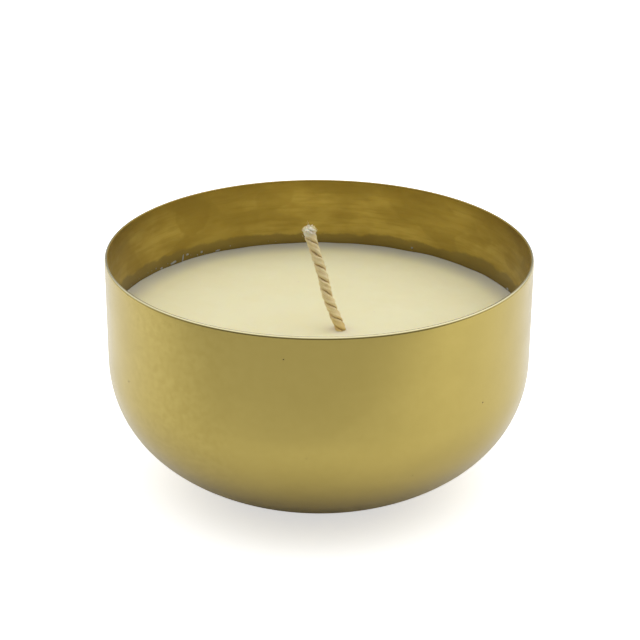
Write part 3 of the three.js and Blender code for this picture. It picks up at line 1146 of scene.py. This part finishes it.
# %% Fibres on the wick
LOOSE_COTTON = fibre_material()
WICK_TOP = max(vertex.co.z for strand in strands for vertex in strand.data.vertices)


def joined_strands():
    work = bmesh.new()
    for strand in strands:
        work.from_mesh(strand.data)
    return mesh_from("both_strands", work)


def scatter(name, mesh, shape, material, slot, **sizes):
    piece = run_tree(name, mesh, SCATTER, {**sizes, "Shape": shape, "Material": material})
    bpy.data.objects.remove(shape)
    hand_over(piece, slot)


def loose_cotton(name, fibre, **sizes):
    shape = fibre_shape(*(measure * MM for measure in fibre))
    scatter(name, joined_strands(), shape, LOOSE_COTTON, "wick_cotton", **sizes)


# Each fibre is given by its length, its thickness and how far its tip bends aside, in mm.
loose_cotton("wick_fuzz", (0.9, 0.045, 0.45), Density=0.9e6, Seed=4, Lowest=WAX_LEVEL + 1 * MM,
             Highest=WICK_TOP - 1.5 * MM, Upward=0.45, Spread=0.9, Smallest=0.4, Largest=1.0)
loose_cotton("wick_tuft", (0.9, 0.12, 0.3), Density=26e6, Seed=8, Lowest=WICK_TOP - 1.3 * MM,
             Highest=WICK_TOP + 1 * MM, Upward=0.5, Spread=0.3, Smallest=0.45, Largest=0.75)
loose_cotton("wick_strays", (2.0, 0.07, 0.6), Density=1.0e6, Seed=5, Lowest=WICK_TOP - 0.5 * MM,
             Highest=WICK_TOP + 1 * MM, Upward=0.85, Spread=0.3, Smallest=0.8, Largest=1.0)

# %% [markdown]
# ## Flakes of wax
#
# When the wax is poured and trimmed, small flakes stay on the wall just above it, most of
# them on the left at the back. There are few enough of the larger ones to place each one by
# one, as a lumpy flattened ball that is bent to the wall. The crumbs between them are scattered
# on a narrow band of wall, and the band only says where: it is gone once they are made.

# %% Flakes on the wall
FLAKE_DEPTH = 0.18 * MM
FLAKES = [  # angle in degrees, then in mm: height above the wax, length, height; lean in degrees
    (142, 0.4, 1.0, 0.4, 8), (137, 0.6, 2.1, 0.6, 10), (133.3, 0.9, 0.5, 1.9, -14),
    (131.6, 1.5, 0.9, 0.45, 6), (126.5, 1.1, 0.7, 0.55, 0), (121, 0.5, 1.5, 0.4, 5),
    (62, 1.0, 0.6, 0.5, 0), (22, 0.3, 1.1, 0.5, -12),
]


def flake_on_wall(work, angle, lift, length, height, lean):
    lean, angle = math.radians(lean), math.radians(angle)
    made = bmesh.ops.create_icosphere(work, subdivisions=2, radius=0.5)
    for vertex in made["verts"]:
        lumpy = 1 + LUMPS * noise.noise(vertex.co * 3 + Vector((angle * 9, 0, 0)))
        along, up = vertex.co.x * length * MM * lumpy, vertex.co.z * height * MM * lumpy
        sideways = along * math.cos(lean) - up * math.sin(lean)
        z = WAX_LEVEL + lift * MM + along * math.sin(lean) + up * math.cos(lean)
        radius = wall_radius(z) - SHEET + vertex.co.y * FLAKE_DEPTH
        turn_by = angle - sideways / radius
        vertex.co = (radius * math.cos(turn_by), radius * math.sin(turn_by), z)


flake_work = bmesh.new()
for flake in FLAKES:
    flake_on_wall(flake_work, *flake)
flake_mesh = mesh_from("wax_flakes", flake_work)
flake_mesh.materials.append(WAX)
flake_mesh.polygons.foreach_set("use_smooth", [True] * len(flake_mesh.polygons))
face_outwards(flake_mesh)
flakes = bpy.data.objects.new("wax_flakes", flake_mesh)
bpy.context.scene.collection.objects.link(flakes)
hand_over(flakes, "wax")


# %% Crumbs between the flakes
def wall_band(start, end, low, high, steps=24):
    work = bmesh.new()
    columns = []
    for i in range(steps + 1):
        angle = math.radians(start + (end - start) * i / steps)
        pair = []
        for height in (WAX_LEVEL + low, WAX_LEVEL + high):
            radius = wall_radius(height) - SHEET
            pair.append(work.verts.new((radius * math.cos(angle), radius * math.sin(angle), height)))
        columns.append(pair)
    for (a, b), (c, d) in zip(columns, columns[1:]):
        work.faces.new((a, b, d, c))
    return mesh_from("band", work)


crumb_band = wall_band(100, 160, 0.3 * MM, 1.3 * MM)
scatter("wax_crumbs", crumb_band, crumb_shape(0.45 * MM, 0.14 * MM), WAX, "wax", Density=0.22e6,
        Seed=3, Spread=0.2, Smallest=0.4, Largest=1.0)

# %% [markdown]
# ## Clip, foam dot and paper disc
#
# A wick is held upright by a clip: a thin tinplate disc with a short neck that is crimped on
# the yarn. It is stuck to the floor of the bowl by a dot of foam. Both are buried in the wax,
# and the paper disc under the foot is seen only from below. They are turned like the rest,
# and the neck is then pinched at four places.

# %% Hidden pieces
NECK_BORE = 1.5 * MM
NECK_WALL = 0.4 * MM
STEP_RADIUS = 6 * MM
STEP_HEIGHT = 0.15 * MM
PINCH = 0.18 * MM
PINCH_REACH = 0.9 * MM


def clip_section():
    low, top = clip_low.z, clip_low.z + CLIP_THICKNESS
    neck = NECK_BORE + NECK_WALL
    return soften([
        at(NECK_BORE, low), at(STEP_RADIUS, low), at(STEP_RADIUS + 0.3 * MM, low),
        at(CLIP_RADIUS, low), at(CLIP_RADIUS, top), at(STEP_RADIUS + 0.5 * MM, top),
        at(STEP_RADIUS, top + STEP_HEIGHT), at(neck + 0.4 * MM, top + STEP_HEIGHT),
        at(neck, top + 0.5 * MM), at(neck, clip_high.z), at(NECK_BORE, clip_high.z),
        at(NECK_BORE, low + 0.1 * MM),
    ], 0.1 * MM)


def pinch_neck(mesh):
    middle = (clip_low.z + clip_high.z) / 2 + 0.5 * MM
    for vertex in mesh.vertices:
        spot = vertex.co
        angle = math.atan2(spot.y, spot.x)
        near = math.exp(-(((spot.z - middle) / PINCH_REACH) ** 2))
        depth = PINCH * max(math.cos(4 * angle), 0) * near
        if spot.z > clip_low.z + CLIP_THICKNESS + 0.4 * MM:
            spot.xy *= 1 - depth / spot.xy.length


def disc_section(low, high, radius, crown):
    return soften([
        at(0, low), at(radius, low), at(radius - crown, (low + high) / 2), at(radius, high), at(0, high),
    ], 0.12 * (high - low))


clip_points = clip_section()
clip = turn("wick_clip", clip_points + clip_points[:1], 128, tinplate_material())
pinch_neck(clip.data)
hand_over(clip, "tinplate", "wick_sustainer")

pad_radius = (pad_high.x - pad_low.x) / 2
pad_section = disc_section(pad_low.z, pad_high.z, pad_radius, 0.12 * MM)
pad = turn("foam_dot", pad_section, 96, foam_material())
hand_over(pad, "foam", "wick_pad")

label_radius = (label_high.x - label_low.x) / 2
paper_section = disc_section(label_low.z, label_high.z, label_radius, 0)
label = turn("paper_disc", paper_section, 96, paper_material())
hand_over(label, "label_paper", "base_label")
